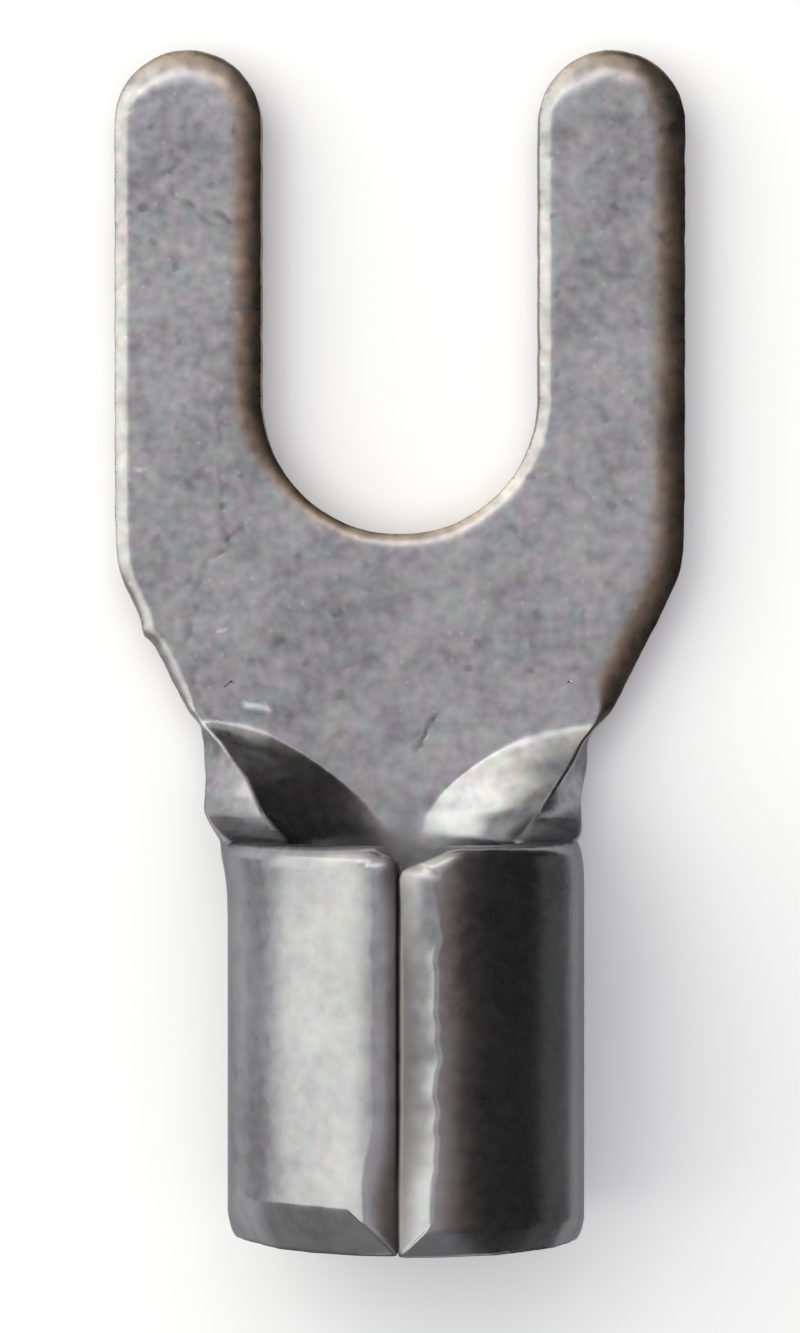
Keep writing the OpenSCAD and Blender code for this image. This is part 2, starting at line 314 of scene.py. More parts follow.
class Blank:
    """One half of the flat blank, and how it folds.

    p is measured from the middle line and q along the terminal, from the stud's centre.
    """

    NOT_LENGTHS = (
        "flank_tilt", "flank_skew", "flank_start", "start_skew", "flank_rise", "crease_sweep",
        "crease_skew", "turn_sweep", "turn_skew", "left_swell", "right_swell", "lip_wander",
    )

    def __init__(self, sizes, side):
        for name in type(sizes).__annotations__:
            value = getattr(sizes, name)
            setattr(self, name, value if name in self.NOT_LENGTHS else value / MM)
        self.side = side
        self.shoulder_y = -(self.slot_r + self.web)
        self.rim_y = self.rear_y + self.barrel_l
        self.curl_y = self.rim_y + self.curl_l
        self.tip_r = (self.tongue_half - self.slot_r) / 2
        self.prong_p = self.slot_r + self.tip_r
        self.tip_y = self.tip_end - self.tip_r
        self.wing_p = math.pi * self.bore_r - self.seam_gap / 2 + side * self.seam_shift

    def half(self, q):
        """Half width at q: the shoulders' straight taper, eased into the neck's and the tongue's widths.

        The neck also draws in a little where the curl starts.
        """
        taper = lerp(self.tongue_half, self.neck_half, (self.shoulder_y - q) / self.shoulder_l)
        drawn_in = self.neck_nick * ramp(-q, -self.curl_y - NICK_PASS[0], NICK_PASS[1] - self.curl_y)
        inner = soft_max(taper, self.neck_half, self.neck_soft) - drawn_in
        return -soft_max(-inner, -self.tongue_half, self.shoulder_soft)

    def fillet(self, q):
        """Width that the fillet adds near the rim: a quarter circle that ends level with the rim."""
        drop = np.clip((self.rim_y + self.fillet_r - q) / self.fillet_r, 0, 1)
        return self.fillet_r * (1 - np.sqrt(1 - drop ** 2))

    def curl(self, q):
        """How far the sheet has curled: 0 on the flat tongue, 1 from the rim on."""
        return np.clip((self.curl_y - q) / self.curl_l, 0, 1)

    def flat(self, q, side):
        """Half width of the flat between the creases.

        It swings in from the sheet's edges by a falling exponential, then closes by a power of the curl.
        """
        curl = self.curl(q)
        swing = self.crease_flare * np.exp(-curl / FLARE_RUN)
        sweep = self.crease_sweep + side * self.crease_skew
        return lerp(self.crease_end, self.crease_half, (1 - curl) ** sweep) + swing

    def crease_lean(self, q, side):
        """Lean that a crease gives the flank, measured across the sheet.

        The flank's tilt about the crease grows smoothly from a share of the full one. With s the flat's
        narrowing along the sheet, the lean's tangent is that of the tilt over the root of 1 + s^2.
        """
        curl = self.curl(q)
        sweep = self.crease_sweep + side * self.crease_skew
        closing = (self.crease_half - self.crease_end) * sweep * (1 - curl) ** (sweep - 1)
        swing = self.crease_flare / FLARE_RUN * np.exp(-curl / FLARE_RUN)
        slope = np.hypot(1, (closing + swing) / self.curl_l)
        start = self.flank_start + side * self.start_skew
        full = self.flank_tilt + side * self.flank_skew
        tilt = full * lerp(start, 1, ramp(curl, 0, self.flank_rise))
        return np.arctan(np.tan(tilt) / slope) * ramp(curl, 0, FLARE_RUN)

    def fold(self, p, q, h):
        """Place of a point of the blank on the folded sheet.

        The top face is walked from the middle line outwards through three arcs, the flat, the crease and
        the flank, whose bends grow with the curl until all three lie on the bore's circle. The point hangs
        below the top face along its normal, and the swell of its side of the mouth, a bell curve along the
        sheet, then widens it. The barrel flattens at the seam and sits a little off the middle.
        """
        u = np.abs(p)
        side = np.where(p < 0, -1, 1)
        curl = self.curl(q)
        half = self.half(q) + self.fillet(q)
        grown = curl ** (self.turn_sweep + side * self.turn_skew)
        crease_lean = self.crease_lean(q, side)
        turn = lerp(crease_lean, half / self.bore_r, grown)
        run = self.crease_run
        softened = ramp(curl, CREASE_SOFTENS, 1)
        rounded = ramp(curl, FLAT_BENDS, 1)
        flat = np.minimum(self.flat(q, side), half - 2 * run)
        crease_turn = lerp(crease_lean, run / self.bore_r, softened)
        flat_bend = rounded / self.bore_r
        flank_bend = (turn - flat_bend * flat - crease_turn) / (half - flat - run)
        x = np.zeros_like(u)
        z = np.full_like(u, self.sheet_t)
        lean = np.zeros_like(u)
        walked = np.zeros_like(u)
        for bend, reach in ((flat_bend, flat), (crease_turn / run, run), (flank_bend, np.inf)):
            step = np.clip(u - walked, 0, reach)
            chord = step * np.sinc(bend * step / (2 * math.pi))
            x = x + chord * np.cos(lean + bend * step / 2)
            z = z + chord * np.sin(lean + bend * step / 2)
            lean = lean + bend * step
            walked = walked + reach
        below = self.sheet_t - h
        on_left = self.left_swell * np.exp(-(((q - self.left_swell_y) / self.left_swell_run) ** 2))
        on_right = self.right_swell * np.exp(-(((q - self.right_swell_y) / self.right_swell_run) ** 2))
        x = (x + below * np.sin(lean)) * (1 + np.where(p < 0, on_left, on_right))
        dip = self.seam_dip * np.exp(-(((math.pi - lean) / SEAM_DIP_TURN) ** 2))
        z = z - below * np.cos(lean) - dip
        return np.stack([side * x + self.barrel_shift * ramp(curl, 0, 1), q, z], axis=-1)

    def columns(self, q, end):
        """Shares of the way from the middle line to end at which the columns lie.

        They are even on the tongue and gather at the crease on the neck.
        """
        u = np.linspace(0, 1, TONGUE_COLUMNS + 1)
        first, second = CREASE_SHARES
        crease = self.flat(q, self.side)
        near = np.minimum((crease - CREASE_GATHER) / end, CREASE_CAPS[0])[:, None]
        far = np.minimum((crease + self.crease_run + CREASE_GATHER) / end, CREASE_CAPS[1])[:, None]
        followed = (
            near * np.clip(u / first, 0, 1)
            + (far - near) * np.clip((u - first) / (second - first), 0, 1)
            + (1 - far) * np.clip((u - second) / (1 - second), 0, 1)
        )
        curl = self.curl(q)
        weight = ramp(q, self.shoulder_y, self.curl_y) * (1 - curl ** 4)
        return lerp(u, followed, weight[:, None])

    def side_path(self):
        """Outline of the half from the rim's fillet to the tip, with its outward normals and rows.

        The fillet adds a quarter circle to the neck's width, the side follows the half width, and the tip
        is a quarter circle. The rows' inner ends lie on the middle line, then round the slot and up the
        prong.
        """
        inset = self.edge_inset
        fillet_turn = np.linspace(QUARTER, 0, FILLET_ROWS, endpoint=False)
        fillet_q = self.rim_y + self.fillet_r * (1 - np.sin(fillet_turn))
        neck_q = np.linspace(self.rim_y + self.fillet_r, self.curl_y, NECK_ROWS, endpoint=False)
        slot_q = -(self.slot_r + inset)
        eased = np.linspace(0, 1, SHOULDER_ROWS, endpoint=False) ** SHOULDER_GATHER
        shoulder_q = lerp(self.curl_y, slot_q, eased)
        slot_turn = np.linspace(0, QUARTER, SLOT_ROWS, endpoint=False)
        beside_q = np.linspace(slot_q, 0, SLOT_ROWS, endpoint=False)
        prong_q = np.linspace(0, self.tip_y, PRONG_ROWS, endpoint=False)
        tip_turn = np.linspace(0, QUARTER, TIP_ROWS + 1)

        q = np.concatenate([fillet_q, neck_q, shoulder_q, beside_q, prong_q])
        side = pairs(self.half(q) + self.fillet(q), q)
        round_tip = pairs(np.cos(tip_turn), np.sin(tip_turn))
        tip = np.array([self.prong_p, self.tip_y]) + self.tip_r * round_tip
        outline = np.concatenate([side, tip])
        along = np.concatenate([[0], np.linalg.norm(np.diff(outline, axis=0), axis=1).cumsum()])
        tangent = np.gradient(outline, along, axis=0)
        normal = pairs(tangent[:, 1], -tangent[:, 0])
        normal /= np.linalg.norm(normal, axis=1, keepdims=True)
        normal[0] = (0, 1)
        normal[len(side):] = round_tip

        fillet_share = np.arange(FILLET_ROWS) / FILLET_ROWS
        fillet_in = lerp(self.rim_y - inset, self.rim_y + self.fillet_r, fillet_share)
        slot_in = self.slot_r + inset
        tip_in = self.tip_r - inset
        inner = np.concatenate([
            pairs(0, fillet_in),
            pairs(0, neck_q),
            pairs(0, shoulder_q),
            slot_in * pairs(np.sin(slot_turn), -np.cos(slot_turn)),
            pairs(slot_in, prong_q),
            pairs(self.prong_p - tip_in * np.cos(tip_turn), self.tip_y + tip_in * np.sin(tip_turn)),
        ])
        inner_normal = np.concatenate([
            np.zeros((FILLET_ROWS + NECK_ROWS + SHOULDER_ROWS, 2)),
            pairs(-np.sin(slot_turn), np.cos(slot_turn)),
            pairs(-np.ones(PRONG_ROWS), 0),
            pairs(-np.cos(tip_turn), np.sin(tip_turn)),
        ])
        return SimpleNamespace(outline=outline, normal=normal, inner=inner, inner_normal=inner_normal)

    def tongue_grid(self, path):
        """Points of the neck, the shoulders and the prong.

        The rows run from their inner ends to the outline moved in by the edge's inset, straight but for a
        bend near the slot that fades by a falling power.
        """
        outer = path.outline - self.edge_inset * path.normal
        rows = FILLET_ROWS + NECK_ROWS + SHOULDER_ROWS
        across = self.columns(path.inner[:, 1], np.maximum(outer[:, 0], 1))
        across[rows:] = np.linspace(0, 1, TONGUE_COLUMNS + 1)
        past_slot = np.clip((np.arange(len(outer)) - rows) / SLOT_ROWS, 0, 1)
        power = lerp(SLOT_BEND, 1, past_slot)[:, None]
        p = lerp(path.inner[:, :1], outer[:, :1], across)
        q = lerp(path.inner[:, 1:], outer[:, 1:], across ** power)
        return pairs(p, q)

    def barrel_grid(self, rim_row):
        """Points of the barrel: straight rows from the rear band to the rim.

        The last row is shared with the neck, and the columns ease into it.
        """
        q = np.linspace(self.rear_y + self.rear_inset, self.rim_y - self.edge_inset, BARREL_ROWS + 1)
        shared = rim_row[-1, 0]
        even = np.linspace(0, shared, TONGUE_COLUMNS + 1)
        eased = ramp(q, self.rim_y - RIM_EASE, self.rim_y - self.edge_inset)[:, None]
        middle = lerp(even, rim_row[:, 0], eased)
        wing = np.linspace(shared, self.wing_p - self.edge_inset, WING_COLUMNS + 1)[1:]
        p = np.hstack([middle, np.broadcast_to(wing, (len(q), WING_COLUMNS))])
        return pairs(p, q[:, None])


# Edge styles: how far the rolls reach in from the outline and through the sheet from each face (top in,
# top down, low in, low up), and how round the low one is. On the barrel the low face is the outer one.
LEFT_EDGE = np.array([0.25, 0.1, 0.06, 0.06, 1.0])
RIGHT_EDGE = np.array([0.6, 0.125, 0.06, 0.06, 1.0])
TIP_EDGE = np.array([0.56, 0.18, 0.06, 0.06, 1.0])
SLOT_EDGE = np.array([0.28, 0.08, 0.06, 0.06, 1.0])
NECK_EDGE = np.array([0.06, 0.06, 0.1, 0.1, 1.0])
LEFT_RIM_EDGE = np.array([0.2, 0.2, 0.3, 0.26, 1.0])
RIGHT_RIM_EDGE = np.array([0.2, 0.2, 0.15, 0.12, 1.0])
LEFT_SEAM_EDGE = np.array([0.08, 0.08, 0.2, 0.065, 0.2])
LEFT_SEAM_END = np.array([0.08, 0.08, 0.31, 0.15, 0.2])
RIGHT_SEAM_EDGE = np.array([0.08, 0.08, 0.37, 0.1, -0.5])
RIGHT_SEAM_END = np.array([0.08, 0.08, 0.33, 0.15, -0.2])
RIGHT_SEAM_FRONT = np.array([0.08, 0.08, 0.36, 0.13, 0.15])
LOW_REAR_EDGE = np.array([0.1, 0.1, 0.25, 0.06, 0.6])
LEFT_REAR_EDGE = np.array([0.1, 0.1, 0.72, 0.32, 0.2])
RIGHT_REAR_EDGE = np.array([0.1, 0.1, 0.4, 0.15, 0.12])


def stretch(base, normal, reach, style, seam=0.0):
    """One stretch of the edge's path: base points, outward normals, reach, style and share of the seam."""
    n = len(base)
    return {
        "base": base,
        "normal": np.broadcast_to(normal, (n, 2)),
        "reach": np.broadcast_to(reach, n),
        "style": np.broadcast_to(style, (n, len(SLOT_EDGE))),
        "seam": np.broadcast_to(seam, n),
    }


def corner(base, start, end, reach, cut, styles, seam, mitre):
    """Fan of edge points round a corner of the blank, from one side's outward direction to the next one's.

    The directions are those of points along the two sides, gathered at the corner. The reach is the least
    of those of the two sides and of a straight cut across the corner, eased where they meet: the root of
    order n of the sum of their inverse powers, inverted. The style passes from one side's to the other's
    over the share mitre of the fan. Its depths grow with the reach, the more so the smaller mitre is, so
    that each roll keeps its width up to a sharp corner.
    """
    f = np.linspace(0, 2, CORNER_STEPS + 1)[1:-1, None]
    sides = np.array([start, end]) * reach
    points = sides[0] * (1 - np.clip(f - 1, 0, 1) ** 2) + sides[1] * (1 - np.clip(1 - f, 0, 1) ** 2)
    normal = points / np.linalg.norm(points, axis=1, keepdims=True)
    along_p, along_q = np.abs(normal).T
    line = reach[0] / cut[0] + reach[1] / cut[1] - 1
    inverse = [along_p / reach[0], along_q / reach[1], (along_p / cut[0] + along_q / cut[1]) / line]
    eased = np.linalg.norm(inverse, ord=CUT_ORDER, axis=0)
    passed = np.clip((f - 1) / (2 * mitre) + 0.5, 0, 1)
    style = lerp(*styles, passed)
    across = lerp(np.abs(sides[0]).sum(), np.abs(sides[1]).sum(), passed)
    style[:, [0, 2]] *= lerp(1, 1 / (eased[:, None] * across), 1 - mitre)
    return stretch(np.tile(base, (len(f), 1)), normal, 1 / eased, style, lerp(*seam, f[:, 0] / 2))


def edge_path(blank, path, tongue, barrel):
    """The half's whole edge: from the middle of the rear round seam, rim, side and tip to the slot."""
    inset = blank.edge_inset
    rear_reach = blank.rear_inset
    right = blank.side > 0
    seam_edge = RIGHT_SEAM_EDGE if right else LEFT_SEAM_EDGE
    seam_end = RIGHT_SEAM_END if right else LEFT_SEAM_END
    seam_front = RIGHT_SEAM_FRONT if right else LEFT_SEAM_EDGE
    rear_edge = RIGHT_REAR_EDGE if right else LEFT_REAR_EDGE
    rim_edge = RIGHT_RIM_EDGE if right else LEFT_RIM_EDGE
    outer_edge = RIGHT_EDGE if right else LEFT_EDGE
    inner_edge = LEFT_EDGE if right else RIGHT_EDGE
    front_cut = RIGHT_FRONT_CUT if right else LEFT_FRONT_CUT
    seed = 11 if right else 23

    rear_style = lerp(LOW_REAR_EDGE, rear_edge, ramp(barrel[0, :, :1], *BEVEL_RISE))

    seam_q = barrel[:, -1, 1:]
    up_seam = ramp(seam_q, blank.rear_y + SEAM_PASS[0], blank.rear_y + SEAM_PASS[1])
    at_front = ramp(seam_q, blank.rim_y - RIM_PASS, blank.rim_y - inset)
    seam_style = lerp(lerp(seam_end, seam_edge, up_seam), seam_front, at_front)
    seam_style[:, 2] *= 1 + blank.lip_wander * (1 + wander(seam_q[:, 0], seed + 1, longest=2.4, waves=4))

    side_q = path.outline[:, 1:]
    at_neck = ramp(np.arange(len(tongue)), 0, FILLET_ROWS)[:, None]
    at_tongue = ramp(side_q, blank.curl_y + CURL_PASS[0], blank.curl_y + CURL_PASS[1])
    at_tip = ramp(side_q, blank.tip_y + TIP_PASS, TIP_END + TIP_PASS)
    side_style = lerp(lerp(rim_edge, NECK_EDGE, at_neck), outer_edge, at_tongue)
    side_style = lerp(side_style, TIP_EDGE, at_tip)

    first_slot_row = FILLET_ROWS + NECK_ROWS + SHOULDER_ROWS
    inner_rows = slice(len(tongue) - 2, first_slot_row - 1, -1)
    inner_normal = path.inner_normal[inner_rows]
    inner_q = (path.inner[inner_rows] + inset * inner_normal)[:, 1:]
    at_slot = ramp(-inner_q, 0, SLOT_PASS * blank.slot_r)
    at_tip = ramp(inner_q, blank.tip_y + TIP_PASS, TIP_END + TIP_PASS)
    inner_style = lerp(lerp(inner_edge, SLOT_EDGE, at_slot), TIP_EDGE, at_tip)

    back, out, front = (0, -1), (1, 0), (0, 1)
    rear_corner = corner(
        barrel[0, -1], back, out, (inset, rear_reach), REAR_CUT, (rear_edge, seam_end), (0, 1), REAR_MITRE
    )
    front_corner = corner(
        barrel[-1, -1], out, front, (inset, inset), front_cut, (seam_front, rim_edge), (1, 0), FRONT_MITRE
    )
    parts = [
        stretch(barrel[0], back, rear_reach, rear_style),
        rear_corner,
        stretch(barrel[:, -1], out, inset, seam_style, 1.0),
        front_corner,
        stretch(barrel[-1, :TONGUE_COLUMNS:-1], front, inset, rim_edge),
        stretch(tongue[:, -1], path.normal, inset, side_style),
        stretch(tongue[inner_rows, 0], inner_normal, inset, inner_style),
    ]
    edge = {key: np.concatenate([part[key] for part in parts]) for key in parts[0]}
    steps = np.linalg.norm(np.diff(edge["base"] + inset * edge["normal"], axis=0), axis=1)
    along = np.concatenate([[0], steps.cumsum()])
    held = ramp(edge["base"][:, 0], *RAGGED_PASS)
    amount = lerp(blank.ragged, blank.seam_ragged, edge["seam"])
    edge["reach"] = edge["reach"] + held * amount * wander(along, seed)
    if not right:
        near = (edge["base"] + inset * edge["normal"])[:, 1] - blank.burr_y
        outer = edge["normal"][:, 0] > 0.5
        edge["reach"] = edge["reach"] + outer * blank.burr * np.exp(-((near / blank.burr_run) ** 2))
    return edge


def edge_strip(blank, edge):
    """The edge's own surface: its profile carried along the edge's path.

    From the top face the profile runs out flat, down a roll that falls by a power of the cosine and so
    steepens late, down the sheared side, in round the low roll and back along the low face. Columns of the
    result: p, q, h, share of the roll, share of the seam, and share of wear and painted brown reflection,
    which is least on edges that face left, towards the side panel, and most on those that face right.
    """
    t = blank.sheet_t
    reach = edge["reach"][:, None]
    top_in, top_down, low_in, low_up, low_round = edge["style"].T[..., None]
    f = np.linspace(0, 1, ROLL_STEPS + 1)
    turn = f * QUARTER
    level = np.linspace(0, LEVEL_END, LEVEL_STEPS)
    side = np.linspace(0, 1, SIDE_STEPS + 1)[1:-1]
    out = np.hstack([
        (reach - top_in) * level,
        reach - top_in * (1 - np.sin(turn)),
        reach + 0 * side,
        reach - low_in * lerp(f, 1 - np.cos(turn), low_round),
        (reach - low_in) * level[::-1],
    ])
    h = np.hstack([
        t + 0 * level * reach,
        t - top_down * (1 - np.cos(turn) ** ROLL_POWER),
        lerp(t - top_down, low_up, side),
        low_up * lerp(1 - f, 1 - np.sin(turn), low_round),
        0 * level * reach,
    ])
    roll = np.concatenate([0 * level, f, np.ones_like(side), 1 - f, 0 * level])
    points = edge["base"][:, None] + out[..., None] * edge["normal"][:, None]
    return np.concatenate([
        points,
        h[..., None],
        np.broadcast_to(roll, h.shape)[..., None],
        np.broadcast_to(edge["seam"][:, None], h.shape)[..., None],
        # Share of the edge colour: wear along the rolls, with a painted brown reflection growing as an edge
        # faces right
        (roll * lerp(LEFT_FACING_EDGE_SHARE, 1, (1 + blank.side * edge["normal"][:, :1]) / 2))[..., None],
    ], axis=-1)


def face_of(grid, h):
    """A face of the sheet from its grid of p and q, at height h, with no roll, seam or wear."""
    rest = np.zeros((*grid.shape[:2], 3))
    return np.concatenate([grid, np.full((*grid.shape[:2], 1), h), rest], axis=-1)


def grid_quads(shape, start):
    """Corner numbers of a grid's quads, counted from start, turning from its rows to its columns."""
    at = start + np.arange(shape[0] * shape[1]).reshape(shape[:2])
    return np.stack([at[:-1, :-1], at[:-1, 1:], at[1:, 1:], at[1:, :-1]], axis=-1).reshape(-1, 4)


def half_sheet(sizes, side):
    """Points and quads of one half: both faces of the tongue and the barrel, and the edge between them."""
    blank = Blank(sizes, side)
    path = blank.side_path()
    tongue = blank.tongue_grid(path)
    barrel = blank.barrel_grid(tongue[0])
    strip = edge_strip(blank, edge_path(blank, path, tongue, barrel))
    surfaces = [
        (face_of(tongue, blank.sheet_t), 1),
        (face_of(tongue, 0), -1),
        (face_of(barrel, blank.sheet_t), 1),
        (face_of(barrel, 0), -1),
        (strip, 1),
    ]
    points = []
    quads = []
    start = 0
    for surface, facing in surfaces:
        found = grid_quads(surface.shape, start)
        quads.append(found if facing * side > 0 else found[:, ::-1])
        points.append(surface.reshape(-1, surface.shape[-1]))
        start += len(points[-1])
    points = np.concatenate(points)
    points[:, 0] *= side
    return points, np.concatenate(quads)


def weld(points, quads):
    """Merges points that share a place on the blank, and makes triangles of quads that lose a side.

    Quads that lose two sides drop out.
    """
    places = np.round(points[:, :3] / WELD).astype(np.int64)
    _, first, merged = np.unique(places, axis=0, return_index=True, return_inverse=True)
    quads = merged.reshape(-1)[quads]
    lost = quads == np.roll(quads, -1, axis=1)
    whole = quads[lost.sum(axis=1) == 0]
    narrow = lost.sum(axis=1) == 1
    triangles = quads[narrow][~lost[narrow]].reshape(-1, 3)
    return points[first], whole.tolist() + triangles.tolist()


class Wire:
    """A shader value that takes part in Python arithmetic: each operator adds one Math node."""

    def __init__(self, finish, socket):
        self.finish = finish
        self.socket = socket

    def math(self, operation, *values):
        """Adds a Math node whose first value is this one, unless values holds both."""
        values = values if len(values) == 2 else (self, *values)
        return self.finish.node("ShaderNodeMath", {"operation": operation}, dict(enumerate(values)))

    def __add__(self, other):
        return self.math("ADD", self, other)

    def __radd__(self, other):
        return self.math("ADD", other, self)

    def __sub__(self, other):
        return self.math("SUBTRACT", self, other)

    def __rsub__(self, other):
        return self.math("SUBTRACT", other, self)

    def __mul__(self, other):
        return self.math("MULTIPLY", self, other)

    def __rmul__(self, other):
        return self.math("MULTIPLY", other, self)

    def __truediv__(self, other):
        return self.math("DIVIDE", self, other)

    def __rtruediv__(self, other):
        return self.math("DIVIDE", other, self)

    def __pow__(self, other):
        return self.math("POWER", self, other)

    def __rpow__(self, other):
        return self.math("POWER", other, self)

    def __abs__(self):
        return self.math("ABSOLUTE")

    def root(self):
        """Square root."""
        return self.math("SQRT")

    def least(self, other):
        """The smaller of the two."""
        return self.math("MINIMUM", self, other)

    def most(self, other):
        """The larger of the two."""
        return self.math("MAXIMUM", self, other)

    def step(self, low, high):
        """Smooth step from 0 at low to 1 at high, or down again where low is above high."""
        flip = low > high
        edges = {"From Min": min(low, high), "From Max": max(low, high)}
        ends = {"To Min": flip * 1.0, "To Max": 1.0 - flip}
        return self.finish.node(
            "ShaderNodeMapRange", {"interpolation_type": "SMOOTHSTEP"}, {"Value": self, **edges, **ends}
        )


class Finish:
    """A material under construction."""

    def __init__(self, name):
        self.material = bpy.data.materials.new(name)
        self.material.use_nodes = True
        self.tree = self.material.node_tree
        self.tree.nodes.clear()

    def node(self, kind, settings, sockets, output=0):
        """Adds a node: its type, its settings, then its sockets' values or links. Gives one output."""
        node = self.tree.nodes.new(kind)
        for key, value in settings.items():
            setattr(node, key, value)
        for key, value in sockets.items():
            if isinstance(value, Wire):
                self.tree.links.new(value.socket, node.inputs[key])
            else:
                node.inputs[key].default_value = value
        return None if output is None else Wire(self, node.outputs[output])

    def mix(self, factor, first, second):
        """Colour blend from first at 0 to second at 1."""
        ends = [end if isinstance(end, Wire) else (*end, 1) for end in (first, second)]
        sockets = {0: factor, 6: ends[0], 7: ends[1]}
        return self.node("ShaderNodeMix", {"data_type": "RGBA"}, sockets, output=2)

    def scaled(self, vector, factor):
        """A vector or colour times one number."""
        sockets = {0: vector, "Scale": factor}
        return self.node("ShaderNodeVectorMath", {"operation": "SCALE"}, sockets)

    def tinted(self, first, second):
        """Product of two colours, channel by channel."""
        return self.node("ShaderNodeVectorMath", {"operation": "MULTIPLY"}, {0: first, 1: second})

    def split(self, vector):
        """The three numbers of a vector."""
        return [self.node("ShaderNodeSeparateXYZ", {}, {0: vector}, output=axis) for axis in "XYZ"]

    def noise(self, place, size, detail=2.0, rough=0.5):
        """Noise from 0 to 1 whose lumps measure about size, in the units of place."""
        sockets = {"Vector": place, "Scale": 1 / size, "Detail": detail, "Roughness": rough}
        return self.node("ShaderNodeTexNoise", {}, sockets)

    def stretched(self, place, turn, scale):
        """Coordinates turned about the upright axis and then scaled."""
        sockets = {"Vector": place, "Rotation": (0, 0, turn), "Scale": scale}
        return self.node("ShaderNodeMapping", {}, sockets)

    def attribute(self, name):
        """A number kept on the mesh."""
        return self.node("ShaderNodeAttribute", {"attribute_name": name}, {}, output="Fac")


def stroke(x, y, start, end, width):
    """Mask of a straight stroke: 1 on the line from start to end, fading to 0 at width from it."""
    run = (end[0] - start[0], end[1] - start[1])
    size = run[0] ** 2 + run[1] ** 2
    f = ((x - start[0]) * run[0] + (y - start[1]) * run[1]) / size
    f = f.most(0.0).least(1.0)
    gap = ((x - start[0] - f * run[0]) ** 2.0 + (y - start[1] - f * run[1]) ** 2.0).root()
    return gap.step(width, 0.0)


